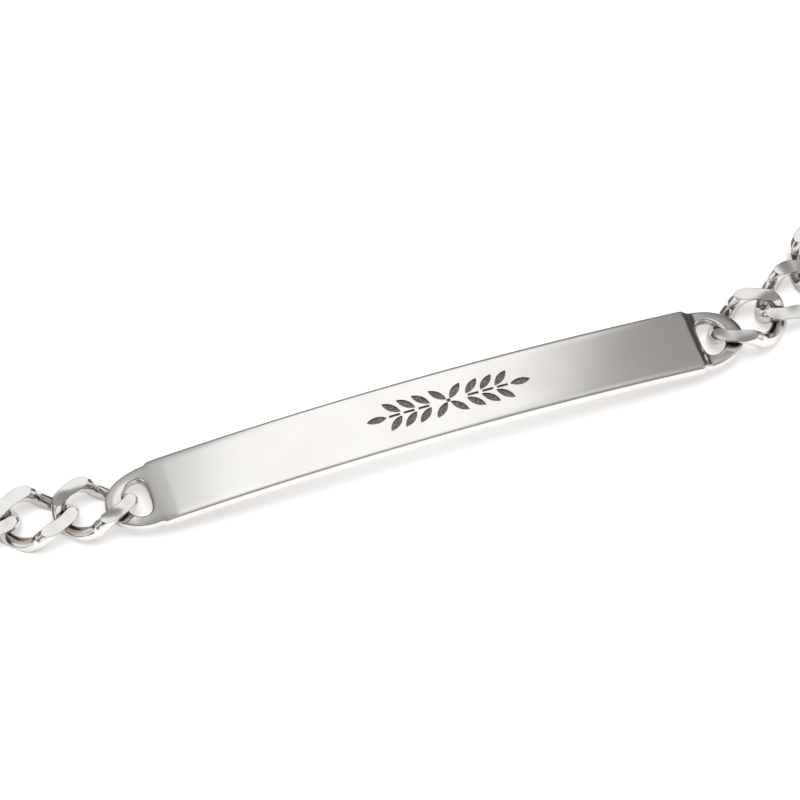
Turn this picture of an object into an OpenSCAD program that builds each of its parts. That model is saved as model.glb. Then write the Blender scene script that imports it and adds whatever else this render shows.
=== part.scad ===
// Identity bracelet: an arched plate between two runs of flat-ground curb links,
// closed by one clasp and laid flat as a whole loop. Millimetres, +Z up.
// The origin is the middle of the loop's footprint, on the surface that it lies on.

/* [Name plate] */
// Width of the plate
plate_w = 4.8; // [4.2:0.1:6]
// Length of the plate's face, measured along its arch
plate_len = 36.9; // [30:0.1:46]
// Thickness of the plate
plate_t = 0.7; // [0.6:0.05:1]
// Radius of the arch along the plate
arch_r = 178; // [100:1:400]
// Bevel along the plate's long edges
edge_bevel = 0.12; // [0.05:0.01:0.2]

/* [End tabs] */
// Length of each tab beyond the plate's end
tab_len = 3.3; // [3:0.1:4]
// Set-in of the tab's side from the plate's side
tab_inset = 0.2; // [0.1:0.05:0.4]
// Thickness of each tab
tab_t = 0.55; // [0.45:0.01:0.62]
// Step down from the plate's face to the tab
tab_drop = 0.24; // [0.1:0.01:0.4]
// Slope of the tab towards its tip, in degrees
tab_fall = 4; // [0:0.5:8]
// Metal left between the plate's end and the eye
eye_start = 0.35; // [0.25:0.05:0.6]
// Metal left between the eye and the tab's tip
bar_w = 1.05; // [0.8:0.05:1.2]
// Metal left beside the eye
arm_w = 0.85; // [0.7:0.05:1]

/* [Engraved sprig] */
// Depth of the engraving
engrave_depth = 0.1; // [0.05:0.01:0.2]
// Length of one leaf
leaf_len = 1.35; // [1:0.05:1.6]
// Width of one leaf
leaf_w = 0.5; // [0.3:0.05:0.6]
// Pairs of leaves on each side of the middle flower
leaf_pairs = 3; // [1:1:5]
// Angle between a leaf and the stem, in degrees
leaf_angle = 42; // [30:1:60]
// Distance between one pair of leaves and the next
leaf_step = 1; // [0.9:0.05:1.8]
// Width of the stem's line
stem_w = 0.16; // [0.1:0.01:0.25]
// Distance of the sprig's middle from the plate's middle, towards the right
sprig_shift = 1.5; // [-3:0.1:3]

/* [Curb links] */
// Width of the links' wire, across the link
wire_w = 0.82; // [0.7:0.02:0.9]
// Thickness of the links' wire, through the link
wire_t = 0.98; // [0.8:0.02:1.04]
// Width of a link over its wire
link_w = 4.45; // [4.3:0.05:4.7]
// Height of a link between its two ground flats
link_h = 1.6; // [1.4:0.02:1.8]
// Turn of the link's ends out of the flat, in degrees
link_twist = 54; // [50:1:58]
// Play between the noses of two links when the chain is pulled straight
nose_gap = 0.19; // [0.17:0.01:0.3]
// Tilt of the links that hang in the plate's tabs and in the clasp, in degrees
end_tilt = 6; // [6:1:12]
// Links from the plate to the clasp on the right
links_right = 19; // [17:1:20]
// Links from the clasp to the plate on the left
links_left = 18; // [16:1:19]

/* [Clasp] */
// Distance between the places where the two end links pull
clasp_span = 11; // [9:0.5:13]
// Width of the clasp's body
clasp_w = 5; // [4.8:0.1:5.6]
// Length of the opening that the right-hand end link hangs in
claw_len = 3.6; // [2.6:0.1:4.2]

/* [Hidden] */

silver = [0.80, 0.79, 0.77];
dark_silver = [0.62, 0.61, 0.60];

// Route of the chain from the right-hand tab round the back to the left-hand tab, in the
// plane of the surface, laid out for a plate from which it starts at route_drawn_from.
route_drawn_from = 20.4;
route_points = [
    [20.35, 0.2], [23.9, 0.85], [27.25, 2.2], [29.75, 5.4], [32.8, 10.0], [36.2, 15.6], [37.8, 21.8],
    [35.6, 27.8], [28.6, 32.2], [17.0, 36.0], [5.0, 39.9], [-6.5, 43.7], [-15.3, 45.0],
    [-22.6, 41.5], [-26.8, 34.6], [-30.1, 26.8], [-33.2, 18.6], [-34.6, 10.8], [-32.4, 4.2],
    [-27.8, 1.3], [-24.1, 0.7], [-20.4, 0.25]];
route_steps = 12;
seat_play = 0.27;        // from the route's ends to the metal that the end links pull on

// Plate: the arch's half angle, and the height and reach of its ends
plate_half_angle = plate_len / arch_r / 2 * 180 / PI;
plate_reach = arch_r * sin(plate_half_angle);
plate_rise = arch_r * (1 - cos(plate_half_angle));
tab_half_w = plate_w / 2 - tab_inset;
eye_len = tab_len - eye_start - bar_w;
eye_half_w = tab_half_w - arm_w;
eye_wide_at = 0.35;      // share of the eye's length where it is widest
tab_root = 0.8;          // length of the tab that is let into the plate
tab_sink = 0.03;         // depth of the tab's root under the plate's face
drop_len = 0.6;          // length over which the tab steps down
drop_steps = 5;
neck_in = 0.1;           // notch at each corner between plate and tab
neck_len = 0.2;
arch_fn = 720;           // facets of a whole turn of the arch

// Links: the wire's centre line is an oval that twists evenly out of the flat
link_half_w = (link_w - wire_w) / 2;
link_square = 2.4;       // exponent of the oval: 2 is an ellipse, more is squarer
twist_spread = 0.75;     // exponent that spreads the twist along the link
ring_count = 16;         // rings round a link
wire_sides = 6;          // sides of the wire

// Route, its length and the links' pitch along it
route_scale = (plate_reach + eye_start + eye_len - seat_play) / route_drawn_from;
route_line = smooth([for (p = route_points) route_scale * p]);
route_marks = running_length(route_line);
route_len = route_marks[len(route_marks) - 1];
pitch = (route_len - clasp_span) / (links_right + links_left);
link_half_len = (pitch + wire_w + nose_gap) / 2;
table_x = [for (i = [0:len(route_line) - 1]) [route_marks[i], route_line[i].x]];
table_y = [for (i = [0:len(route_line) - 1]) [route_marks[i], route_line[i].y]];

// Heights: every piece lies on the surface or on the link that carries it
flat_z = link_h / 2;
float_room = 0.03;       // room between the tilted links and the surface
tilted_z = float_room - min([for (p = link_points())
                             max(p.z, -link_h / 2) * cos(end_tilt) - abs(p.y) * sin(end_tilt)]);
bar_z = tilted_z;        // the tab's bar runs through the middle of the tilted link
bar_middle = tab_len - bar_w / 2;
plate_end_z = bar_z + tab_t / 2 + tab_drop + bar_middle * tan(tab_fall);
crown_z = plate_end_z + plate_rise;

// Clasp: its two openings in its own frame, where x runs from the right chain to the left
clasp_t = 2 * tilted_z;  // the clasp's body lies on the surface
clasp_bar = 0.9;         // metal beyond the clasp's openings
clasp_ring_t = 0.55;     // thickness of the clasp at its two ends
clasp_eye_len = 2.1;
clasp_eye_half_w = 1.4;
clasp_reach = clasp_span / 2 + seat_play;
clasp_half_len = clasp_reach + clasp_bar;
clasp_square = 2.6;      // exponent of the clasp's outline
clasp_angles = [0:10:350];
slope_len = 0.9;         // length over which the clasp thins to its ends
lever_w = 0.25;          // width of the groove that marks the closed lever
lever_depth = 0.2;

// Middle of the loop's footprint, measured on the links, the clasp and the plate's front edge
spread = concat([for (i = [0:links_right + links_left - 1]) each placed_link(i)],
                [for (a = clasp_angles) placed(clasp_point(a), clasp_centre(), clasp_heading())],
                [[0, -plate_w / 2]]);
low = [min([for (p = spread) p.x]), min([for (p = spread) p.y])];
high = [max([for (p = spread) p.x]), max([for (p = spread) p.y])];
middle = (low + high) / 2;

function two_digits(i) = str(i < 10 ? "0" : "", i);

// Signed power, for ovals that are squarer than an ellipse
function power(v, e) = sign(v) * pow(abs(v), e);

// Curve through the points, with route_steps places on each span
function smooth(p) =
    let (q = concat([2 * p[0] - p[1]], p, [2 * p[len(p) - 1] - p[len(p) - 2]]))
    concat([for (i = [1:len(p) - 1], j = [0:route_steps - 1]) span_point(q, i, j / route_steps)],
           [p[len(p) - 1]]);

function span_point(q, i, t) =
    (2 * q[i] + (q[i + 1] - q[i - 1]) * t
     + (2 * q[i - 1] - 5 * q[i] + 4 * q[i + 1] - q[i + 2]) * t * t
     + (3 * q[i] - q[i - 1] - 3 * q[i + 1] + q[i + 2]) * t * t * t) / 2;

// Length along a line of points, at each point
function running_length(p) =
    [for (i = 0, s = 0; i < len(p); i = i + 1, s = s + (i < len(p) ? norm(p[i] - p[i - 1]) : 0)) s];

// Place on the route at a length from its start
function route_at(s) = [lookup(s, table_x), lookup(s, table_y)];

// Start of link i, counted from the right-hand tab round to the left-hand tab
function link_start(i) = i * pitch + (i < links_right ? 0 : clasp_span);
function link_from(i) = route_at(link_start(i));
function link_to(i) = route_at(link_start(i) + pitch);
function heading(a, b) = atan2(b.y - a.y, b.x - a.x);

// The right-hand run is twisted one way and the left-hand run the other
function hand(i) = i < links_right ? 1 : -1;

// A link that hangs in a tab or in the clasp leans, the others lie flat
function lean(i) =
    i == 0 || i == links_right + links_left - 1 ? -end_tilt
    : i == links_right - 1 || i == links_right ? end_tilt : 0;

// Centre line of a link's wire in its own frame
function link_turn(a) = link_twist * power(power(cos(a), 2 / link_square), twist_spread);
function link_centre(a) =
    let (across = link_half_w * power(sin(a), 2 / link_square), turn = link_turn(a))
    [link_half_len * power(cos(a), 2 / link_square), across * cos(turn), across * sin(turn)];

// Direction of the wire, and the ring of points round it
function unit(v) = v / norm(v);
function link_dir(a) = unit(link_centre(a + 1) - link_centre(a - 1));
function link_ring(a) =
    let (turn = link_turn(a), dir = link_dir(a), up = [0, -sin(turn), cos(turn)],
         v = unit(up - (up * dir) * dir), w = cross(dir, v))
    [for (k = [0:wire_sides - 1])
        let (b = (k + 0.5) * 360 / wire_sides)
        link_centre(a) + wire_t / 2 * cos(b) * v + wire_w / 2 * sin(b) * w];
function link_points() = [for (i = [0:ring_count - 1]) each link_ring(ring_angle(i))];

// Angles that put the rings at even steps round the oval
function ring_angle(i) = (i + 0.5) * 360 / ring_count;

// Points in the plane of the surface, for the loop's footprint
function placed(p, to, turn) =
    to + [p.x * cos(turn) - p.y * sin(turn), p.x * sin(turn) + p.y * cos(turn)];
function placed_link(i) =
    let (t = lean(i), from = link_from(i), to = link_to(i))
    [for (p = link_points())
        placed([p.x, p.y * cos(t) - hand(i) * p.z * sin(t)], (from + to) / 2, heading(from, to))];

function clasp_centre() = (link_to(links_right - 1) + link_from(links_right)) / 2;
function clasp_heading() = heading(link_to(links_right - 1), link_from(links_right));
function clasp_point(a) =
    [clasp_half_len * power(cos(a), 2 / clasp_square), clasp_w / 2 * power(sin(a), 2 / clasp_square)];

// Closed tube through rings of points
module ring_sweep(points, rings, sides) {
    faces = [for (i = [0:rings - 1], k = [0:sides - 1])
        let (a = i * sides + k, b = i * sides + (k + 1) % sides,
             c = ((i + 1) % rings) * sides + (k + 1) % sides, d = ((i + 1) % rings) * sides + k)
        each [[a, d, b], [b, d, c]]];
    polyhedron(points, faces);
}

// One link in its own frame, ground flat above and below
module ground_link() {
    intersection() {
        ring_sweep(link_points(), ring_count, wire_sides);
        cube([2 * (link_half_len + wire_w), link_w + wire_w, link_h], center = true);
    }
}

module link(i) {
    from = link_from(i);
    to = link_to(i);
    tilt = lean(i);
    color(silver)
        translate([(from.x + to.x) / 2, (from.y + to.y) / 2, tilt == 0 ? flat_z : tilted_z])
        rotate([tilt, 0, heading(from, to)])
        mirror([0, 0, hand(i) < 0 ? 1 : 0])
        ground_link();
}

// Cross-section of the plate for turning, with bevelled edges
module plate_section() {
    o = arch_r;
    i = arch_r - plate_t;
    w = plate_w / 2;
    b = edge_bevel;
    polygon([[i, -w], [o - b, -w], [o, b - w], [o, w - b], [o - b, w], [i, w]]);
}

module plate_body() {
    translate([0, 0, crown_z - arch_r])
        rotate([90, 0, 0])
        rotate([0, 0, 90 - plate_half_angle])
        rotate_extrude(angle = 2 * plate_half_angle, $fn = arch_fn)
        plate_section();
}

// Height of the tab's upper side at a distance from the plate's end
function tab_top(x) =
    let (u = max(0, min(1, x / drop_len)))
    plate_end_z - tab_sink - (tab_drop - tab_sink) * u * u * (3 - 2 * u)
    - max(0, x) * tan(tab_fall);
tab_stations = concat([-tab_root, 0], [for (i = [1:drop_steps]) i * drop_len / drop_steps],
                      [tab_len]);

module tab_side_view() {
    above = [for (x = tab_stations) [x, tab_top(x)]];
    below = [for (i = [len(tab_stations) - 1:-1:0]) [tab_stations[i], above[i].y - tab_t]];
    polygon(concat(above, below));
}

function tab_outline_point(a) = [tab_len * power(cos(a), 0.95), tab_half_w * power(sin(a), 0.95)];

module tab_plan() {
    round = [for (a = [-84:12:84]) tab_outline_point(a)];
    neck = tab_half_w - neck_in;
    polygon(concat([[-tab_root, -neck], [neck_len, -neck]], round,
                   [[neck_len, neck], [-tab_root, neck]]));
}

// Egg-shaped eye, nearly straight on the plate's side
function eye_point(a) =
    let (wide = eye_start + eye_wide_at * eye_len, c = cos(a),
         side = c < 0 ? eye_wide_at * eye_len : (1 - eye_wide_at) * eye_len)
    [wide + side * power(c, c < 0 ? 0.7 : 1), eye_half_w * power(sin(a), c < 0 ? 0.7 : 1)];

module eye_plan() {
    polygon([for (a = [0:12:348]) eye_point(a)]);
}

module tab() {
    translate([plate_reach, 0, 0])
        intersection() {
            rotate([90, 0, 0])
                linear_extrude(plate_w, center = true)
                tab_side_view();
            linear_extrude(crown_z)
                difference() {
                    tab_plan();
                    eye_plan();
                }
        }
}

// Leaf with two round sides, from the origin along +X
module leaf() {
    r = (leaf_len * leaf_len + leaf_w * leaf_w) / (4 * leaf_w);
    translate([leaf_len / 2, 0])
        intersection() {
            translate([0, r - leaf_w / 2]) circle(r, $fn = 96);
            translate([0, leaf_w / 2 - r]) circle(r, $fn = 96);
        }
}

// Half of the sprig, to the right of the middle flower
module half_sprig() {
    start = leaf_len * 0.9;
    stem_start = 0.1;    // from a leaf's foot to the stem's next piece
    for (i = [0:leaf_pairs - 1]) {
        x = start + i * leaf_step;
        for (side = [-1, 1])
            translate([x, side * stem_w]) rotate(side * leaf_angle) leaf();
        translate([x + stem_start, -stem_w / 2]) square([leaf_step * 0.72, stem_w]);
    }
    translate([start + leaf_pairs * leaf_step, 0]) leaf();
}

module sprig() {
    for (turn = [0, 180]) rotate(turn) half_sprig();
    for (turn = [45:90:315]) rotate(turn) translate([stem_w, 0]) leaf();
    circle(stem_w * 0.8, $fn = 32);
}

// The sprig's cuts follow the arch at an even depth
module engraving() {
    difference() {
        translate([sprig_shift, 0, crown_z - plate_t]) linear_extrude(2 * plate_t) sprig();
        translate([0, 0, crown_z - arch_r])
            rotate([90, 0, 0])
            cylinder(r = arch_r - engrave_depth, h = 2 * plate_w, center = true, $fn = arch_fn);
    }
}

module plate() {
    color(silver)
        difference() {
            union() {
                plate_body();
                tab();
                mirror([1, 0, 0]) tab();
            }
            engraving();
        }
}

// Clasp seen from above and from the side, in its own frame
module clasp_plan() {
    polygon([for (a = clasp_angles) clasp_point(a)]);
}

module clasp_opening(length, half_w) {
    polygon([for (a = [0:15:345])
        [length / 2 * power(cos(a), 0.8), half_w * power(sin(a), 0.8)]]);
}

module clasp_side_view() {
    body_end = clasp_half_len - clasp_bar - 0.4;
    ring = clasp_ring_t / 2;
    full = clasp_t / 2;
    polygon([[-clasp_half_len, -ring], [-body_end, -ring], [slope_len - body_end, -full],
             [body_end - slope_len, -full], [body_end, -ring], [clasp_half_len, -ring],
             [clasp_half_len, ring], [body_end, ring], [body_end - slope_len, full],
             [slope_len - body_end, full], [-body_end, ring], [-clasp_half_len, ring]]);
}

module clasp() {
    c = clasp_centre();
    eye_x = clasp_reach - clasp_eye_len / 2;
    claw_x = claw_len / 2 - clasp_reach;
    color(dark_silver)
        translate([c.x, c.y, tilted_z])
        rotate([0, 0, clasp_heading()])
        difference() {
            intersection() {
                rotate([90, 0, 0]) linear_extrude(clasp_w, center = true) clasp_side_view();
                linear_extrude(clasp_t, center = true)
                    difference() {
                        clasp_plan();
                        translate([eye_x, 0]) clasp_opening(clasp_eye_len, clasp_eye_half_w);
                        translate([claw_x, 0]) clasp_opening(claw_len, clasp_eye_half_w);
                    }
            }
            translate([claw_x + claw_len / 2 + lever_w, 0, clasp_t / 2 - lever_depth])
                cube([lever_w, clasp_w / 2, clasp_t]);
        }
}

// The loop is drawn about the plate's middle, then moved so that its footprint is centred
module lay() {
    translate([-middle.x, -middle.y, 0]) children();
}

lay() plate();
lay() clasp();
for (i = [1:links_right])
    lay() link(i - 1);
for (i = [1:links_left])
    lay() link(links_right + links_left - i);
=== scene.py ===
import math

import bmesh
import bpy
import numpy as np
from mathutils import Matrix, Vector


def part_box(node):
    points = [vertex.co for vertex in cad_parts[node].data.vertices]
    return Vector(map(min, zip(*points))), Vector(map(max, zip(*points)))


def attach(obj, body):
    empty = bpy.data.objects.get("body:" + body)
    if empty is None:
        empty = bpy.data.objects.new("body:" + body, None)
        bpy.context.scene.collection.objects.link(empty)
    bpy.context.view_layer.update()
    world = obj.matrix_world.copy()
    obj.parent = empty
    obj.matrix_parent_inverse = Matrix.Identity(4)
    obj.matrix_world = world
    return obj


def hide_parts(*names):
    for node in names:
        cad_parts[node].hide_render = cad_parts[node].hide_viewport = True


# Silver identity bracelet lying on a white table. Lengths in the dictionaries are millimetres,
# but for the table and its lamp, which are in metres.
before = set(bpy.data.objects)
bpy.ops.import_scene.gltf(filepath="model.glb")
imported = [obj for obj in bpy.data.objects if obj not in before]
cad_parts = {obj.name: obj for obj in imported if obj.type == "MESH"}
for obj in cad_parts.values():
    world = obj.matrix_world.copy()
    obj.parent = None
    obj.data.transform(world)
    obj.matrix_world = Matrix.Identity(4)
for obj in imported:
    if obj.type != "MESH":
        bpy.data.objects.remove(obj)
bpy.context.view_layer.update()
mm = 0.001
studio = bpy.context.scene

plateLow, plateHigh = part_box("plate")
plateMiddle = np.array([(plateLow[0] + plateHigh[0]) / 2, (plateLow[1] + plateHigh[1]) / 2]) / mm
crownHeight = plateHigh[2] / mm
print("frame loaded,", len(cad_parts), "nodes")


def ease(u):
    u = np.clip(u, 0, 1)
    return u * u * (3 - 2 * u)


def signedPower(v, e):
    return np.sign(v) * np.abs(v) ** e


def meshFrom(name, points, faces, materials):
    mesh = bpy.data.meshes.new(name)
    mesh.from_pydata([tuple(float(c) * mm for c in p) for p in points], [], faces)
    for material in materials:
        mesh.materials.append(material)
    mesh.shade_smooth()
    piece = bpy.data.objects.new(name, mesh)
    studio.collection.objects.link(piece)
    return piece


def gridFaces(rows, columns):
    # quads over a grid that closes on itself both ways
    faces = []
    for i in range(rows):
        for j in range(columns):
            nextI = (i + 1) % rows
            nextJ = (j + 1) % columns
            faces.append((i * columns + j, i * columns + nextJ,
                          nextI * columns + nextJ, nextI * columns + j))
    return faces


def tidyMesh(piece, outward=False, reach=0.0002, split=False):
    # joins points closer than reach, in millimetres
    work = bmesh.new()
    work.from_mesh(piece.data)
    bmesh.ops.remove_doubles(work, verts=work.verts, dist=reach * mm)
    bmesh.ops.dissolve_degenerate(work, edges=work.edges, dist=reach * mm)
    if outward:
        bmesh.ops.recalc_face_normals(work, faces=work.faces)
    if split:
        bmesh.ops.triangulate(work, faces=work.faces)
    work.to_mesh(piece.data)
    work.free()


def cutWith(piece, cutter, solver="EXACT"):
    step = piece.modifiers.new("cut", "BOOLEAN")
    step.operation = "DIFFERENCE"
    step.solver = solver
    step.use_self = solver == "EXACT"
    step.object = cutter
    graph = bpy.context.evaluated_depsgraph_get()
    mesh = bpy.data.meshes.new_from_object(piece.evaluated_get(graph))
    piece.modifiers.clear()
    piece.data = mesh
    bpy.data.objects.remove(cutter)


def crispAbove(piece, angle):
    piece.data.set_sharp_from_angle(angle=math.radians(angle))


def evenFlats(piece):
    weighted = piece.modifiers.new("even flats", "WEIGHTED_NORMAL")
    weighted.keep_sharp = True
    weighted.weight = 80


# Silver
silverLook = {
    "tone": (0.86, 0.85, 0.835),
    "warmTone": (0.80, 0.775, 0.745),
    "plateRoughness": (0.10, 0.15),
    "linkRoughness": (0.06, 0.12),
    "groundRoughness": (0.12, 0.2),
    "claspRoughness": (0.12, 0.18),
    # painted shade: brownish darkening in hollows and near the table
    "paintedShadeTone": (0.30, 0.25, 0.22), "paintedShadeReach": 2.5, "paintedShadeRange": (0.2, 0.85),
    "wornEdge": 0.035,
    # painted dark reflection along the edges of the links
    "edgeLineTone": 0.25, "edgeLineReach": 0.07, "edgeLineRange": (0.93, 0.995),
    "hazeSize": 260, "hazeDetail": 3,   # sizes are how many patches there are to a metre
    "warmRange": (0.45, 0.8), "warmMost": 0.5, "glossRange": (0.3, 0.7),
    "waveSize": 520, "waveHeight": 0.16,
    "scratchSize": 5200, "scratchDetail": 2, "scratchDepth": 0.012, "scratchHeight": 0.02,
    "brushed": (0.06, 1, 1), "buffed": (0.3, 1, 0.6), "brushTurn": 0.12,
}
engravedLook = {
    "tone": (0.45, 0.44, 0.43), "pitTone": (0.10, 0.095, 0.09), "toneRange": (0.15, 0.75),
    "metallic": 0.85, "roughness": 0.5,
    "stippleSize": 9000, "stippleDepth": 0.6, "stippleHeight": 0.03,
}


def newMaterial(name):
    material = bpy.data.materials.new(name)
    material.use_nodes = True
    nodes = material.node_tree.nodes
    return material, nodes, material.node_tree.links, nodes["Principled BSDF"]


def rangeOf(nodes, links, value, limits, ends=(0, 1)):
    step = nodes.new("ShaderNodeMapRange")
    for socket, amount in zip(("From Min", "From Max", "To Min", "To Max"), (*limits, *ends)):
        step.inputs[socket].default_value = amount
    links.new(value, step.inputs["Value"])
    return step.outputs["Result"]


def paintedEdgeLines(nodes, links, tone, target):
    # painted dark reflection: a thin dark line where two faces meet
    near = nodes.new("ShaderNodeBevel")
    near.inputs["Radius"].default_value = silverLook["edgeLineReach"] * mm
    near.samples = 6
    turn = nodes.new("ShaderNodeVectorMath")
    turn.operation = "DOT_PRODUCT"
    links.new(near.outputs["Normal"], turn.inputs[0])
    links.new(nodes.new("ShaderNodeNewGeometry").outputs["Normal"], turn.inputs[1])
    line = rangeOf(nodes, links, turn.outputs["Value"], silverLook["edgeLineRange"],
                   (silverLook["edgeLineTone"], 1))
    darker = nodes.new("ShaderNodeMix")
    darker.data_type = "RGBA"
    darker.blend_type = "MULTIPLY"
    darker.inputs["Factor"].default_value = 1.0
    links.new(tone, darker.inputs["A"])
    links.new(line, darker.inputs["B"])
    links.new(darker.outputs["Result"], target)


def polishedSilver(name, roughness, lines, wave, paleness=1.0, edgeLined=False):
    material, nodes, links, shader = newMaterial(name)
    shader.inputs["Metallic"].default_value = 1.0
    place = nodes.new("ShaderNodeTexCoord")

    haze = nodes.new("ShaderNodeTexNoise")   # cloudy polish
    haze.inputs["Scale"].default_value = silverLook["hazeSize"]
    haze.inputs["Detail"].default_value = silverLook["hazeDetail"]
    links.new(place.outputs["Object"], haze.inputs["Vector"])

    tone = nodes.new("ShaderNodeMix")
    tone.data_type = "RGBA"
    for socket, colour in (("A", "tone"), ("B", "warmTone")):
        tone.inputs[socket].default_value = (*(c * paleness for c in silverLook[colour]), 1)
    warmth = rangeOf(nodes, links, haze.outputs["Fac"], silverLook["warmRange"],
                     (0, silverLook["warmMost"]))
    links.new(warmth, tone.inputs["Factor"])

    shadeOcclusion = nodes.new("ShaderNodeAmbientOcclusion")   # painted shade, brownish: darker in hollows and where the metal lies near the table
    shadeOcclusion.inputs["Distance"].default_value = silverLook["paintedShadeReach"] * mm
    shadeOcclusion.samples = 6
    shadedTone = nodes.new("ShaderNodeMix")
    shadedTone.data_type = "RGBA"
    shadedTone.inputs["A"].default_value = (*silverLook["paintedShadeTone"], 1)
    unshadedShare = rangeOf(nodes, links, shadeOcclusion.outputs["AO"], silverLook["paintedShadeRange"])
    links.new(unshadedShare, shadedTone.inputs["Factor"])
    links.new(tone.outputs["Result"], shadedTone.inputs["B"])
    links.new(shadedTone.outputs["Result"], shader.inputs["Base Color"])

    rough = rangeOf(nodes, links, haze.outputs["Fac"], silverLook["glossRange"], roughness)
    links.new(rough, shader.inputs["Roughness"])

    stretch = nodes.new("ShaderNodeMapping")   # fine polishing lines
    stretch.inputs["Scale"].default_value = silverLook[lines]
    stretch.inputs["Rotation"].default_value = (0, 0, silverLook["brushTurn"])
    links.new(place.outputs["Object"], stretch.inputs["Vector"])
    scratches = nodes.new("ShaderNodeTexNoise")
    scratches.inputs["Scale"].default_value = silverLook["scratchSize"]
    scratches.inputs["Detail"].default_value = silverLook["scratchDetail"]
    links.new(stretch.outputs["Vector"], scratches.inputs["Vector"])
    bump = nodes.new("ShaderNodeBump")
    bump.inputs["Strength"].default_value = silverLook["scratchDepth"]
    bump.inputs["Distance"].default_value = silverLook["scratchHeight"] * mm
    links.new(scratches.outputs["Fac"], bump.inputs["Height"])
    waves = nodes.new("ShaderNodeTexNoise")   # faces are never quite flat
    waves.inputs["Scale"].default_value = silverLook["waveSize"]
    waves.inputs["Detail"].default_value = 0
    links.new(place.outputs["Object"], waves.inputs["Vector"])
    swell = nodes.new("ShaderNodeBump")
    swell.inputs["Strength"].default_value = wave
    swell.inputs["Distance"].default_value = silverLook["waveHeight"] * mm
    links.new(waves.outputs["Fac"], swell.inputs["Height"])
    worn = nodes.new("ShaderNodeBevel")   # edges rubbed round
    worn.inputs["Radius"].default_value = silverLook["wornEdge"] * mm
    worn.samples = 4
    # painted dark reflection along the edges
    if edgeLined:
        paintedEdgeLines(nodes, links, shadedTone.outputs["Result"], shader.inputs["Base Color"])
    links.new(worn.outputs["Normal"], swell.inputs["Normal"])
    links.new(swell.outputs["Normal"], bump.inputs["Normal"])
    links.new(bump.outputs["Normal"], shader.inputs["Normal"])
    return material


def engravedSilver():
    material, nodes, links, shader = newMaterial("engravedSilver")
    shader.inputs["Metallic"].default_value = engravedLook["metallic"]
    shader.inputs["Roughness"].default_value = engravedLook["roughness"]
    place = nodes.new("ShaderNodeTexCoord")
    dots = nodes.new("ShaderNodeTexVoronoi")   # the graver's pricks
    dots.inputs["Scale"].default_value = engravedLook["stippleSize"]
    links.new(place.outputs["Object"], dots.inputs["Vector"])
    shade = nodes.new("ShaderNodeValToRGB")
    stops = zip(shade.color_ramp.elements, engravedLook["toneRange"], ("pitTone", "tone"))
    for stop, position, colour in stops:
        stop.position = position
        stop.color = (*engravedLook[colour], 1)
    links.new(dots.outputs["Distance"], shade.inputs["Fac"])
    links.new(shade.outputs["Color"], shader.inputs["Base Color"])
    bump = nodes.new("ShaderNodeBump")
    bump.inputs["Strength"].default_value = engravedLook["stippleDepth"]
    bump.inputs["Distance"].default_value = engravedLook["stippleHeight"] * mm
    links.new(dots.outputs["Distance"], bump.inputs["Height"])
    links.new(bump.outputs["Normal"], shader.inputs["Normal"])
    return material


plateSilver = polishedSilver("plateSilver", silverLook["plateRoughness"], "brushed", 0.0)
linkSilver = polishedSilver("linkSilver", silverLook["linkRoughness"], "buffed", 0.6,
                            edgeLined=True)
groundSilver = polishedSilver("groundSilver", silverLook["groundRoughness"], "buffed", 1.3,
                              0.88, edgeLined=True)
claspSilver = polishedSilver("claspSilver", silverLook["claspRoughness"], "brushed", 0.1)
sprigSilver = engravedSilver()
print("silver ready")

# Name plate and its two tabs, one piece of metal. The bar is swept between two seams, and
# rays from each eye fill the tabs. u runs outward from the plate's end, v across it.
plateShape = {
    "archRadius": 178, "thickness": 0.7, "topEdge": 0.13, "lowEdge": 0.07,
    "crown": 0.025, "shoulder": 0.045, "shoulderWidth": 0.6,
    "stations": 110, "across": 26, "crowding": 0.4, "cornerSteps": 5, "crispAngle": 35,
    "tabLength": 3.3, "tabInset": 0.15, "tabThick": 0.55, "tabDrop": 0.24, "tabFall": 4,
    "dropStart": {-1: 1.2, 1: 0.15}, "dropLength": {-1: 3.2, 1: 0.75},
    "seam": -1.4, "neckIn": 0.02, "neckLength": 0.1,
    "tipSweep": 84, "tipSquare": 0.95, "tipPoints": 160,
    "soften": 0.13, "softenPoints": 1600, "outlinePoints": 150, "edgeRun": 30,
    "eyeStart": 0.35, "barWidth": 1.25, "armWidth": 0.9, "eyeWidest": 0.38,
    "eyeBlunt": 0.7, "eyePoints": 1441, "eyeEdge": 0.16, "tabSteps": 12,
}
ps = plateShape
halfWidth = (plateHigh[1] - plateLow[1]) / mm / 2
plateReach = (plateHigh[0] - plateLow[0]) / mm / 2 - ps["tabLength"]
tabHalf = halfWidth - ps["tabInset"]
endHeight = math.sqrt(ps["archRadius"] ** 2 - plateReach ** 2) - ps["archRadius"]
endSlope = plateReach / (endHeight + ps["archRadius"])
eyeLength = ps["tabLength"] - ps["eyeStart"] - ps["barWidth"]
eyeMiddle = ps["eyeStart"] + ps["eyeWidest"] * eyeLength


def onPlate(x, y, z):
    # from the plate's own frame, with its crown at zero, to the bracelet's
    return (plateMiddle[0] + x, plateMiddle[1] + y, crownHeight + z)


def dropShare(u, side):
    # the left tab runs out of the face more gently than the right one
    p = np.clip((u + ps["dropStart"][side]) / ps["dropLength"][side], 0, 1)
    return p ** 3 * (10 - 15 * p + 6 * p ** 2)


def faceHeight(u, side):
    x = np.minimum(u, 0) + plateReach
    arch = np.sqrt(ps["archRadius"] ** 2 - x ** 2) - ps["archRadius"] - np.maximum(u, 0) * endSlope
    tab = endHeight - ps["tabDrop"] - u * math.tan(math.radians(ps["tabFall"]))
    return arch + (tab - arch) * dropShare(u, side)


def metalThickness(u, side):
    return ps["thickness"] + (ps["tabThick"] - ps["thickness"]) * dropShare(u, side)


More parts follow.
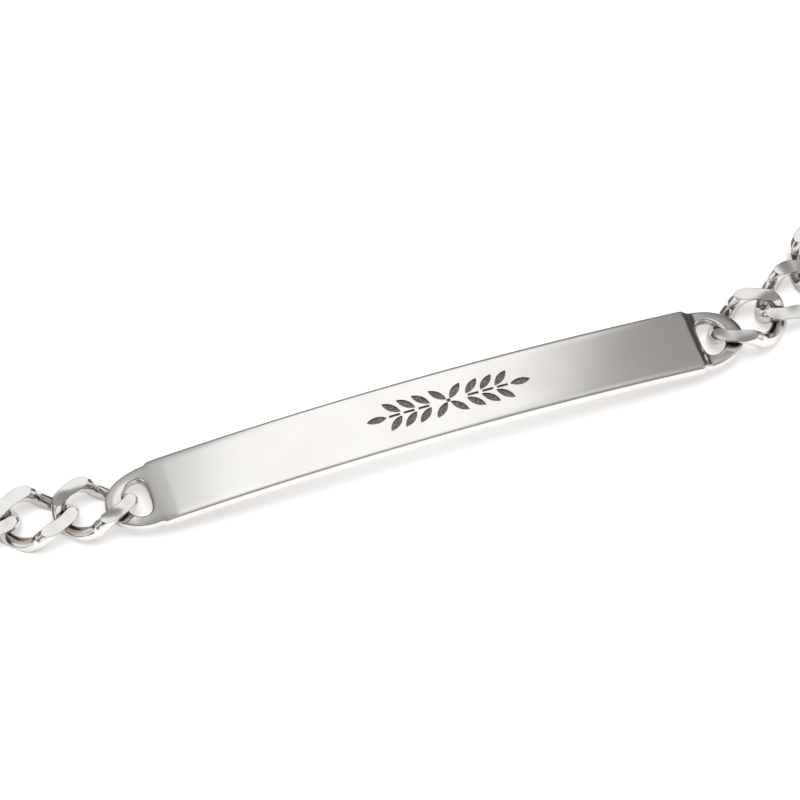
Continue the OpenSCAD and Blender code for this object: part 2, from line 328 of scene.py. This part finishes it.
def distanceTo(line, points):
    # least distance from each point to a polyline
    a, b = line[:-1], line[1:]
    along = b - a
    away = points[:, None] - a
    share = np.clip((away * along).sum(-1) / (along ** 2).sum(-1), 0, 1)
    return np.linalg.norm(away - share[..., None] * along, axis=-1).min(1)


def tabOutline():
    # from the seam round the tab's tip and back to the seam, with soft corners
    neck = tabHalf - ps["neckIn"]
    square = ps["tipSquare"]
    sweep = np.radians(np.linspace(-ps["tipSweep"], ps["tipSweep"], ps["tipPoints"]))
    tip = [(ps["tabLength"] * math.cos(a) ** square,
            tabHalf * float(signedPower(math.sin(a), square))) for a in sweep]
    start = ps["seam"] - 4 * ps["soften"]
    lower = [(start, -halfWidth), (0, -halfWidth), (0, -neck), (ps["neckLength"], -neck)]
    line = np.array(lower + tip + [(u, -v) for u, v in reversed(lower)])
    run = np.concatenate([[0], np.cumsum(np.hypot(*np.diff(line, axis=0).T))])
    fine = np.linspace(0, run[-1], ps["softenPoints"])
    dense = np.stack([np.interp(fine, run, line[:, i]) for i in (0, 1)], -1)
    reach = int(3 * ps["soften"] / (fine[1] - fine[0]))
    weight = np.exp(-0.5 * (np.arange(-reach, reach + 1) / reach * 3) ** 2)
    soft = np.stack([np.convolve(np.pad(dense[:, i], reach, "edge"), weight / weight.sum(), "valid")
                     for i in (0, 1)], -1)
    inside = np.nonzero(soft[:, 0] > ps["seam"])[0]
    soft = soft[inside[0]:inside[-1] + 1]
    soft[0] = (ps["seam"], -halfWidth)
    soft[-1] = (ps["seam"], halfWidth)
    run = np.concatenate([[0], np.cumsum(np.hypot(*np.diff(soft, axis=0).T))])
    even = np.linspace(0, run[-1], ps["outlinePoints"])
    points = np.stack([np.interp(even, run, soft[:, i]) for i in (0, 1)], -1)
    ahead = np.gradient(points, axis=0)
    outward = np.stack([ahead[:, 1], -ahead[:, 0]], -1)
    outward /= np.linalg.norm(outward, axis=1)[:, None]
    outward[0] = (0, -1)
    outward[-1] = (0, 1)
    return points, outward


def eyeAt(angles):
    # the eye's edge where rays from its middle meet it, and the way into the metal
    t = np.linspace(0, 2 * math.pi, ps["eyePoints"])
    blunt = np.where(np.cos(t) < 0, ps["eyeBlunt"], 1.0)
    reach = np.where(np.cos(t) < 0, ps["eyeWidest"], 1 - ps["eyeWidest"]) * eyeLength
    u = reach * signedPower(np.cos(t), blunt)
    v = (tabHalf - ps["armWidth"]) * signedPower(np.sin(t), blunt)
    around = np.unwrap(np.arctan2(v, u))
    wanted = np.mod(angles, 2 * math.pi)
    edge = np.stack([eyeMiddle + np.interp(wanted, around, u), np.interp(wanted, around, v)], -1)
    slope = np.stack([np.gradient(v), -np.gradient(u)], -1)
    slope /= np.linalg.norm(slope, axis=1)[:, None]
    metal = np.stack([np.interp(wanted, around, slope[:, i]) for i in (0, 1)], -1)
    return edge, metal / np.linalg.norm(metal, axis=1)[:, None]


def acrossPlate(edge):
    # places across the face, closer together near its edges
    share = np.linspace(-1, 1, ps["across"] + 1)
    crowding = ps["crowding"]
    return (halfWidth - edge) * ((1 - crowding) * share + crowding * np.sin(share * math.pi / 2))


quarter = np.linspace(0, math.pi / 2, ps["cornerSteps"] + 1)
outlineUV, outlineOut = tabOutline()
freeEdge = np.vstack([[-ps["edgeRun"], -halfWidth], outlineUV, [-ps["edgeRun"], halfWidth]])


def onTop(uv, side, depth=0):
    # points measured down from the face: (u, v, height)
    uv = np.atleast_2d(uv)
    roll = ps["shoulder"] * np.clip(1 - distanceTo(freeEdge, uv) / ps["shoulderWidth"], 0, 1) ** 2
    bulge = ps["crown"] * (uv[:, 1] / halfWidth) ** 2
    return np.column_stack([uv, faceHeight(uv[:, 0], side) - roll - bulge - depth])


def onUnderside(uv, side, height=0):
    uv = np.atleast_2d(uv)
    low = faceHeight(uv[:, 0], side) - metalThickness(uv[:, 0], side)
    return np.column_stack([uv, low + height])


def outerEdge(uv, out, side):
    # the rounded free edge, from the face down to the underside
    top, low = ps["topEdge"], ps["lowEdge"]
    upper = onTop(uv - out * (top - top * np.sin(quarter))[:, None], side,
                  top - top * np.cos(quarter))
    lower = onUnderside(uv - out * (low - low * np.cos(quarter))[:, None], side,
                        low - low * np.sin(quarter))
    return np.vstack([upper, lower])


def towardEye(topStart, lowStart, edge, metal, side):
    # across the underside to the eye, up its wall and back over the face
    r, low = ps["eyeEdge"], ps["lowEdge"]
    share = np.linspace(0, 1, ps["tabSteps"])[:, None]
    under = onUnderside(lowStart + (edge + metal * low - lowStart) * share[:-1], side)
    lowRound = onUnderside(edge + metal * (low - low * np.sin(quarter))[:, None], side,
                           low - low * np.cos(quarter))
    highRound = onTop(edge + metal * (r - r * np.cos(quarter))[:, None], side,
                      r - r * np.sin(quarter))
    over = onTop(edge + metal * r + (topStart - edge - metal * r) * share[1:], side)
    return np.vstack([under, lowRound, highRound, over])


def plateTab(side):
    seamTop = np.column_stack([np.full(ps["across"] + 1, ps["seam"]), -acrossPlate(ps["topEdge"])])
    seamLow = np.column_stack([np.full(ps["across"] + 1, ps["seam"]), -acrossPlate(ps["lowEdge"])])
    topStarts = np.vstack([outlineUV - outlineOut * ps["topEdge"], seamTop[1:-1]])
    lowStarts = np.vstack([outlineUV - outlineOut * ps["lowEdge"], seamLow[1:-1]])
    aim = np.vstack([outlineUV, seamTop[1:-1]]) - (eyeMiddle, 0)
    edges, metals = eyeAt(np.arctan2(aim[:, 1], aim[:, 0]))
    inner = [towardEye(*ray, side) for ray in zip(topStarts, lowStarts, edges, metals)]
    outer = [outerEdge(uv, out, side) for uv, out in zip(outlineUV, outlineOut)]
    points = np.vstack(inner + outer)
    faces = []
    n, rays = len(inner[0]), len(inner)
    for i in range(rays):
        a, b = i * n, (i + 1) % rays * n
        faces += [(a + j, a + j + 1, b + j + 1, b + j) for j in range(n - 1)]
    first, m = rays * n, len(outer[0])
    for i in range(len(outer) - 1):
        a, b = first + i * m, first + (i + 1) * m
        faces += [(a + j, a + j + 1, b + j + 1, b + j) for j in range(m - 1)]
    return placedUV(points, side), faces


def placedUV(points, side):
    return [onPlate(side * (plateReach + u), side * v, z) for u, v, z in points]


def plateBar():
    # the bar between the two seams
    length = plateReach + ps["seam"]
    xs = np.linspace(-length, length, ps["stations"])
    points = []
    for x in xs:
        side = -1 if x < 0 else 1
        u = np.full(ps["across"] + 1, abs(x) - plateReach)
        top = onTop(np.column_stack([u, acrossPlate(ps["topEdge"])]), side)
        low = onUnderside(np.column_stack([u, acrossPlate(ps["lowEdge"])]), side)
        right = outerEdge(np.array([u[0], halfWidth]), np.array([0, 1]), side)
        left = outerEdge(np.array([u[0], -halfWidth]), np.array([0, -1]), side)
        for _, y, z in np.vstack([top, right[1:], low[::-1][1:], left[::-1][1:-1]]):
            points.append(onPlate(x, y, z))
    n = len(points) // len(xs)
    faces = []
    for i in range(len(xs) - 1):
        for j in range(n):
            k = (j + 1) % n
            faces.append((i * n + j, (i + 1) * n + j, (i + 1) * n + k, i * n + k))
    return points, faces


# Engraved sprig, a little to the right of the plate's middle
sprigShape = {
    "depth": 0.1, "leafLength": 1.35, "leafWidth": 0.5, "leafPairs": 3, "leafAngle": 42,
    "leafStep": 1.0, "firstLeaf": 0.9, "stemWidth": 0.16, "stemStart": 0.1, "stemShare": 0.72,
    "budSize": 0.8, "budPoints": 23, "shift": 1.5, "leafSteps": 14, "cutAbove": 0.5,
}
ss = sprigShape


def leafOutline():
    length, width = ss["leafLength"], ss["leafWidth"]
    r = (length ** 2 + width ** 2) / (4 * width)
    half = math.asin(length / 2 / r)
    upper = [(length / 2 - r * math.sin(a), r * math.cos(a) - r + width / 2)
             for a in np.linspace(half, -half, ss["leafSteps"])]
    return upper + [(x, -y) for x, y in reversed(upper[1:-1])]


def turned(outline, angle, shift=(0, 0)):
    c, s = math.cos(math.radians(angle)), math.sin(math.radians(angle))
    return [(x * c - y * s + shift[0], x * s + y * c + shift[1]) for x, y in outline]


def sprigOutlines():
    half = []
    start = ss["leafLength"] * ss["firstLeaf"]
    for i in range(ss["leafPairs"]):
        x = start + i * ss["leafStep"]
        for side in (-1, 1):
            half.append(turned(leafOutline(), side * ss["leafAngle"], (x, side * ss["stemWidth"])))
        w = ss["stemWidth"] / 2
        x0 = x + ss["stemStart"]
        x1 = x0 + ss["leafStep"] * ss["stemShare"]
        half.append([(x0, -w), (x1, -w), (x1, w), (x0, w)])
    half.append(turned(leafOutline(), 0, (start + ss["leafPairs"] * ss["leafStep"], 0)))
    outlines = half + [turned(o, 180) for o in half]
    for angle in (45, 135, 225, 315):
        outlines.append(turned(turned(leafOutline(), 0, (ss["stemWidth"], 0)), angle))
    r = ss["stemWidth"] * ss["budSize"]
    turns = np.linspace(0, 2 * math.pi, ss["budPoints"] + 1)[:-1]
    return outlines + [[(r * math.cos(a), r * math.sin(a)) for a in turns]]


def sprigCutter():
    points, faces = [], []
    for outline in sprigOutlines():
        outline = [(x + ss["shift"], y) for x, y in outline]
        first, n = len(points), len(outline)
        for x, y in outline:
            points.append(onPlate(x, y, float(faceHeight(abs(x) - plateReach, 1)) - ss["depth"]))
        points += [onPlate(x, y, ss["cutAbove"]) for x, y in outline]
        lower = list(range(first, first + n))
        upper = [i + n for i in lower]
        faces.append(tuple(lower))
        faces.append(tuple(reversed(upper)))
        for i in range(n):
            j = (i + 1) % n
            faces.append((lower[j], lower[i], upper[i], upper[j]))
    cutter = meshFrom("sprigCutter", points, faces, [plateSilver, sprigSilver])
    for face in cutter.data.polygons:
        face.material_index = 1
    tidyMesh(cutter, outward=True)
    return cutter


def namePlate():
    points, faces = plateBar()
    for side in (-1, 1):
        tabPoints, tabFaces = plateTab(side)
        faces += [tuple(i + len(points) for i in f) for f in tabFaces]
        points += tabPoints
    plate = meshFrom("namePlate", points, faces, [plateSilver, sprigSilver])
    tidyMesh(plate, outward=True)
    cutWith(plate, sprigCutter())
    crispAbove(plate, ps["crispAngle"])
    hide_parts("plate")
    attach(plate, "root")


namePlate()
print("name plate made")

# Curb links: a twisted ring of filed wire, ground flat above and below, and broader at its arms
linkShape = {
    "noseWidth": 0.84, "armWidth": 1.0, "wireThick": 0.95,
    "linkWidth": 4.45, "length": 5.64, "height": 1.6,
    "twist": 54, "square": 2.4, "spread": 0.75, "madeForPitch": 3.815,
    "rings": 132, "facets": 8, "cornerHalf": 6, "cornerBulge": 0.25, "evenPoints": 4001,
    "neighbours": ("link_r15", "link_r16"),
}
ls = linkShape


def chainPitch():
    first, second = (linkFrame(node)[0] for node in ls["neighbours"])
    return np.linalg.norm(second - first)


def nodePoints(node):
    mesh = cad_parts[node].data
    flat = np.empty(len(mesh.vertices) * 3)
    mesh.vertices.foreach_get("co", flat)
    return flat.reshape(-1, 3) / mm


def linkFrame(node):
    # a link is the same after a half turn about each of its own axes
    points = nodePoints(node)
    middle = points.mean(0)
    axes = np.linalg.eigh(np.cov((points - middle).T))[1]
    along, up = axes[:, 2], axes[:, 0]
    up = up if up[2] > 0 else -up
    return middle, along, np.cross(up, along), up


def linkLine(t, halfLength, halfWide):
    along = signedPower(np.cos(t), 2 / ls["square"])
    across = halfWide * signedPower(np.sin(t), 2 / ls["square"])
    turn = np.radians(ls["twist"] * signedPower(along, ls["spread"]))
    line = np.stack([halfLength * along, across * np.cos(turn), across * np.sin(turn)], -1)
    return line, np.stack([0 * turn, -np.sin(turn), np.cos(turn)], -1)


def wireSection():
    # flats with rounded corners between them, as (through, across) at unit size
    step = math.pi / ls["facets"]
    soft = math.radians(ls["cornerHalf"])
    edge = 1 / math.cos(step - soft)
    section = []
    for k in range(ls["facets"]):
        for part in (-1, -1 / 3, 1 / 3, 1):
            r = edge * (1 + ls["cornerBulge"] * soft ** 2 * (1 - part ** 2))
            angle = (2 * k + 1) * step + part * soft
            section.append((r * math.cos(angle), r * math.sin(angle)))
    return np.array(section)


def ringOfWire():
    halfLength = (ls["length"] - ls["noseWidth"]) / 2
    halfWide = (ls["linkWidth"] - ls["armWidth"]) / 2
    fine = np.linspace(0, 2 * math.pi, ls["evenPoints"])
    line = linkLine(fine, halfLength, halfWide)[0]
    run = np.concatenate([[0], np.cumsum(np.linalg.norm(np.diff(line, axis=0), axis=1))])
    t = np.interp(np.arange(ls["rings"]) / ls["rings"] * run[-1], run, fine)
    centre, up = linkLine(t, halfLength, halfWide)
    ahead = np.roll(centre, -1, 0) - np.roll(centre, 1, 0)
    ahead /= np.linalg.norm(ahead, axis=1)[:, None]
    through = up - (up * ahead).sum(1)[:, None] * ahead
    through /= np.linalg.norm(through, axis=1)[:, None]
    across = np.cross(ahead, through)
    nose = (centre[:, 0] / halfLength) ** 2   # 1 at the ends, 0 at the arms' middles
    wide = ls["armWidth"] + (ls["noseWidth"] - ls["armWidth"]) * nose
    section = wireSection() / 2
    points = (centre[:, None]
              + section[None, :, :1] * ls["wireThick"] * through[:, None]
              + section[None, :, 1:] * (wide[:, None] * across)[:, None])
    return points.reshape(-1, 3), gridFaces(ls["rings"], len(section))


def groundLink():
    points, faces = ringOfWire()
    work = bmesh.new()
    corners = [work.verts.new(p) for p in points]
    for face in faces:
        work.faces.new([corners[i] for i in face])
    for side in (-1, 1):
        cut = bmesh.ops.bisect_plane(work, geom=work.verts[:] + work.edges[:] + work.faces[:],
                                     dist=1e-5, plane_co=(0, 0, side * ls["height"] / 2),
                                     plane_no=(0, 0, side), clear_outer=True)
        rim = [e for e in cut["geom_cut"] if isinstance(e, bmesh.types.BMEdge)]
        for face in bmesh.ops.edgenet_fill(work, edges=rim)["faces"]:
            face.material_index = 1
        for edge in rim:
            edge.smooth = False
    bmesh.ops.recalc_face_normals(work, faces=work.faces)
    mesh = bpy.data.meshes.new("groundLink")
    work.to_mesh(mesh)
    work.free()
    return mesh


def curbLinks():
    pattern = groundLink()
    stretch = 1 + (chainPitch() - ls["madeForPitch"]) / ls["length"]
    for node in sorted(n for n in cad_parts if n.startswith("link_")):
        middle, along, across, up = linkFrame(node)
        hand = -1 if node.startswith("link_l") else 1
        place = Matrix.Identity(4)
        for column, axis in enumerate((along * stretch, across, up * hand, middle)):
            for row in range(3):
                place[row][column] = axis[row] * mm
        mesh = pattern.copy()
        mesh.transform(place)
        if place.determinant() < 0:
            mesh.flip_normals()
        for material in (linkSilver, groundSilver):
            mesh.materials.append(material)
        side = "Right" if hand > 0 else "Left"
        link = bpy.data.objects.new("curbLink" + side + node[-2:], mesh)
        studio.collection.objects.link(link)
        for face in mesh.polygons:
            face.use_smooth = True
        evenFlats(link)
        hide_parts(node)
        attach(link, "root")


curbLinks()
print("links made")

# Clasp: one pillow-edged body, thinned toward both ends, with an eye and a closed claw
claspShape = {
    "length": 13.34, "width": 5.0, "square": 2.6, "endThickness": 0.55,
    "endLength": 1.3, "slopeLength": 0.9, "edge": 0.22, "pillow": 0.09,
    "around": 144, "rings": 26, "innermost": 0.02, "edgeSteps": 5, "crispAngle": 40,
    "eyeLength": 2.1, "clawLength": 3.6, "openingHalf": 1.4, "openingBlunt": 0.8,
    "openingPoints": 72, "endBar": 0.9, "leverGroove": 0.25, "leverDepth": 0.2,
}
cs = claspShape


def claspHalfThickness(x, full):
    ring = cs["endThickness"] / 2
    share = ease((cs["length"] / 2 - cs["endLength"] - np.abs(x)) / cs["slopeLength"])
    return ring + (full - ring) * share


def claspBody(full):
    t = np.arange(cs["around"]) / cs["around"] * 2 * math.pi
    outline = np.stack([cs["length"] / 2 * signedPower(np.cos(t), 2 / cs["square"]),
                        cs["width"] / 2 * signedPower(np.sin(t), 2 / cs["square"])], -1)
    ahead = np.roll(outline, -1, 0) - np.roll(outline, 1, 0)
    out = np.stack([ahead[:, 1], -ahead[:, 0]], -1) / np.linalg.norm(ahead, axis=1)[:, None]
    r = cs["edge"]
    inner = outline - out * r
    rounding = np.linspace(0, math.pi / 2, cs["edgeSteps"] + 1)
    loops = []
    for upward in (1, -1):
        shares = np.linspace(cs["innermost"], 1, cs["rings"])[:-1]
        half = [(inner * share, 0) for share in shares]
        half += [(inner + out * r * math.sin(a), r - r * math.cos(a)) for a in rounding]
        levels = []
        for plan, drop in half:
            pillow = 1 - cs["pillow"] * (plan[:, 1] / (cs["width"] / 2)) ** 2
            height = claspHalfThickness(plan[:, 0], full) * pillow - drop
            levels.append(np.column_stack([plan, upward * height]))
        loops += levels if upward > 0 else levels[::-1]
    n = cs["around"]
    points = np.vstack(loops)
    faces = [(i * n + j, (i + 1) * n + j, (i + 1) * n + (j + 1) % n, i * n + (j + 1) % n)
             for i in range(len(loops) - 1) for j in range(n)]
    faces += [tuple(range(n))[::-1], tuple(range(len(points) - n, len(points)))]
    return points, faces


def prism(plan, low, high):
    n = len(plan)
    points = [(x, y, z) for z in (low, high) for x, y in plan]
    faces = [tuple(range(n))[::-1], tuple(range(n, 2 * n))]
    faces += [(i, (i + 1) % n, n + (i + 1) % n, n + i) for i in range(n)]
    return points, faces


def claspOpenings(full):
    reach = cs["length"] / 2 - cs["endBar"]
    clawMiddle = cs["clawLength"] / 2 - reach
    turns = np.linspace(0, 2 * math.pi, cs["openingPoints"] + 1)[:-1]
    along = signedPower(np.cos(turns), cs["openingBlunt"])
    aside = cs["openingHalf"] * signedPower(np.sin(turns), cs["openingBlunt"])
    parts = []
    for middle, length in ((reach - cs["eyeLength"] / 2, cs["eyeLength"]),
                           (clawMiddle, cs["clawLength"])):
        plan = list(zip(middle + length / 2 * along, aside))
        parts.append(prism(plan, -2 * full, 2 * full))
    x = clawMiddle + cs["clawLength"] / 2 + cs["leverGroove"]
    groove = [(x, 0), (x + cs["leverGroove"], 0),
              (x + cs["leverGroove"], cs["width"]), (x, cs["width"])]
    parts.append(prism(groove, full - cs["leverDepth"], 2 * full))
    return parts


def towardClasp(node, other):
    # where the link's run of the chain ends, on the clasp's side
    middle, along, _, _ = linkFrame(node)
    if np.dot(linkFrame(other)[0] - middle, along) < 0:
        along = -along
    return middle + along * chainPitch() / 2


def claspPiece():
    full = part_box("clasp")[1][2] / mm / 2
    lastRight = max(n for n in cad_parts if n.startswith("link_r"))
    lastLeft = max(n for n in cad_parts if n.startswith("link_l"))
    start = towardClasp(lastRight, lastLeft)
    end = towardClasp(lastLeft, lastRight)
    heading = math.atan2(end[1] - start[1], end[0] - start[0])
    middle = (start + end) / 2
    place = (Matrix.Translation(Vector((middle[0] * mm, middle[1] * mm, full * mm)))
             @ Matrix.Rotation(heading, 4, "Z"))
    clasp = meshFrom("boxClasp", *claspBody(full), [claspSilver])
    tidyMesh(clasp, outward=True)
    for points, faces in claspOpenings(full):
        cutter = meshFrom("opening", points, faces, [claspSilver])
        tidyMesh(cutter, outward=True)
        cutWith(clasp, cutter, "MANIFOLD")
    tidyMesh(clasp, reach=0.001, split=True)
    clasp.data.transform(place)
    crispAbove(clasp, cs["crispAngle"])
    evenFlats(clasp)
    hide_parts("clasp")
    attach(clasp, "root")


claspPiece()
print("clasp made")

# Table, light and camera
tableLook = {"tone": (0.92, 0.92, 0.92), "roughness": 0.6, "glow": 0.48, "size": 0.9}
lightLook = {
    "lampPower": 1.7, "lampSize": 0.5, "lampHeight": 0.7,   # the lamp over the table
    "under": (0.20, 0.175, 0.16),
    "sky": (   # tone, and the heights between which it takes over from the one before
        ((0.20, 0.185, 0.175), -0.1, 0.1),
        ((0.36, 0.35, 0.34), 0.1, 0.9),
    ),
    "cardTint": (1, 0.99, 0.975),
    # What the silver mirrors: azimuth from the back, elevation, half width, half height,
    # soft edge and tone. Angles are degrees, clockwise seen from above. A later card lies
    # over an earlier one.
    "cards": (
        (0, 92, 14, 9, 6, 0.72),         # overhead
        (-12, 57, 8, 11, 7, 0.58),       # the plate's left end
        (38, 65, 6, 5, 3.5, 0.75),
        (14.9, 60, 8.4, 17, 2.4, 1.14),  # the bright middle of the plate
        (180, 57, 50, 16, 4, 0.08),      # dark line along the near edges
        (180, 16, 60, 24, 4, 0.95),
        (-88, 25, 14, 20, 5, 1.0),
        (92, 32, 13, 30, 5, 0.9),
        (16, 10, 60, 11, 5, 0.12),       # dark line along the far edges
        (52, 26, 14, 20, 5, 0.07),
    ),
}
cameraPlace = {
    "azimuth": 18.563, "elevation": 57.139,   # degrees, from the plate's own front
    "distance": 452.8, "across": 1.712, "above": -0.404,
    "lens": 316, "sensor": 36,
}


def whiteTable():
    half = tableLook["size"] / 2
    corners = [(-half, -half, 0), (half, -half, 0), (half, half, 0), (-half, half, 0)]
    mesh = bpy.data.meshes.new("table")
    mesh.from_pydata(corners, [], [(0, 1, 2, 3)])
    material, _, _, shader = newMaterial("tableWhite")
    shader.inputs["Base Color"].default_value = (*tableLook["tone"], 1)
    shader.inputs["Roughness"].default_value = tableLook["roughness"]
    shader.inputs["Emission Color"].default_value = (1, 1, 1, 1)
    shader.inputs["Emission Strength"].default_value = tableLook["glow"]
    mesh.materials.append(material)
    table = bpy.data.objects.new("table", mesh)
    studio.collection.objects.link(table)


def reachAlong(nodes, links, direction, axis):
    step = nodes.new("ShaderNodeVectorMath")
    step.operation = "DOT_PRODUCT"
    links.new(direction, step.inputs[0])
    step.inputs[1].default_value = axis
    return step.outputs["Value"]


def plainMath(nodes, links, operation, *values):
    step = nodes.new("ShaderNodeMath")
    step.operation = operation
    for socket, value in zip(step.inputs, values):
        if isinstance(value, (int, float)):
            socket.default_value = value
        else:
            links.new(value, socket)
    return step.outputs["Value"]


def softStep(nodes, links, value, start, end):
    step = nodes.new("ShaderNodeMapRange")
    step.interpolation_type = "SMOOTHSTEP"
    step.inputs["From Min"].default_value = start
    step.inputs["From Max"].default_value = end
    links.new(value, step.inputs["Value"])
    return step.outputs["Result"]


def cardShare(nodes, links, direction, azimuth, elevation, wide, high, soft):
    # 1 on the card, fading to 0 over its soft edge
    a, e = math.radians(azimuth), math.radians(elevation)
    toCard = (math.sin(a) * math.cos(e), math.cos(a) * math.cos(e), math.sin(e))
    sideways = (math.cos(a), -math.sin(a), 0)
    upward = (-math.sin(a) * math.sin(e), -math.cos(a) * math.sin(e), math.cos(e))
    depth = reachAlong(nodes, links, direction, toCard)
    share = softStep(nodes, links, depth, 0.0, 0.05)   # nothing on the side facing away
    for axis, half in ((sideways, wide), (upward, high)):
        offset = reachAlong(nodes, links, direction, axis)
        turn = plainMath(nodes, links, "ARCTAN2", offset, depth)
        angle = plainMath(nodes, links, "ABSOLUTE", turn)
        edge = softStep(nodes, links, angle, math.radians(half + soft), math.radians(half - soft))
        share = plainMath(nodes, links, "MULTIPLY", share, edge)
    return share


def layerOver(nodes, links, colour, share, tone):
    layer = nodes.new("ShaderNodeMix")
    layer.data_type = "RGBA"
    layer.inputs["B"].default_value = (*tone, 1)
    links.new(share, layer.inputs["Factor"])
    links.new(colour, layer.inputs["A"])
    return layer.outputs["Result"]


def studioWorld():
    world = bpy.data.worlds.new("studio")
    studio.world = world
    world.use_nodes = True
    nodes, links = world.node_tree.nodes, world.node_tree.links
    direction = nodes.new("ShaderNodeTexCoord").outputs["Generated"]
    height = reachAlong(nodes, links, direction, (0, 0, 1))
    colour = nodes.new("ShaderNodeRGB").outputs["Color"]
    colour.default_value = (*lightLook["under"], 1)
    for tone, start, end in lightLook["sky"]:
        share = softStep(nodes, links, height, start, end)
        colour = layerOver(nodes, links, colour, share, tone)
    for *place, tone in lightLook["cards"]:
        share = cardShare(nodes, links, direction, *place)
        tint = [tone * c for c in lightLook["cardTint"]]
        colour = layerOver(nodes, links, colour, share, tint)
    links.new(colour, nodes["Background"].inputs["Color"])


def tableLamp():
    data = bpy.data.lights.new("tableLamp", "AREA")
    data.shape = "DISK"
    data.size = lightLook["lampSize"]
    data.energy = lightLook["lampPower"]
    lamp = bpy.data.objects.new("tableLamp", data)
    lamp.location = (0, 0, lightLook["lampHeight"])
    lamp.visible_glossy = False
    studio.collection.objects.link(lamp)


def photoCamera():
    a, e = math.radians(cameraPlace["azimuth"]), math.radians(cameraPlace["elevation"])
    right = Vector((math.cos(a), -math.sin(a), 0))
    forward = Vector((math.sin(a) * math.cos(e), math.cos(a) * math.cos(e), -math.sin(e)))
    up = right.cross(forward)
    crown = Vector(onPlate(0, 0, 0))
    data = bpy.data.cameras.new("photoCamera")
    data.lens = cameraPlace["lens"]
    data.sensor_width = cameraPlace["sensor"]
    camera = bpy.data.objects.new("photoCamera", data)
    camera.location = mm * (crown - cameraPlace["across"] * right - cameraPlace["above"] * up
                            - cameraPlace["distance"] * forward)
    camera.rotation_mode = "QUATERNION"
    camera.rotation_quaternion = Matrix((right, up, -forward)).transposed().to_quaternion()
    studio.collection.objects.link(camera)
    studio.camera = camera


whiteTable()
studioWorld()
tableLamp()
photoCamera()
studio.view_settings.view_transform = "Standard"
print("table, light and camera set")
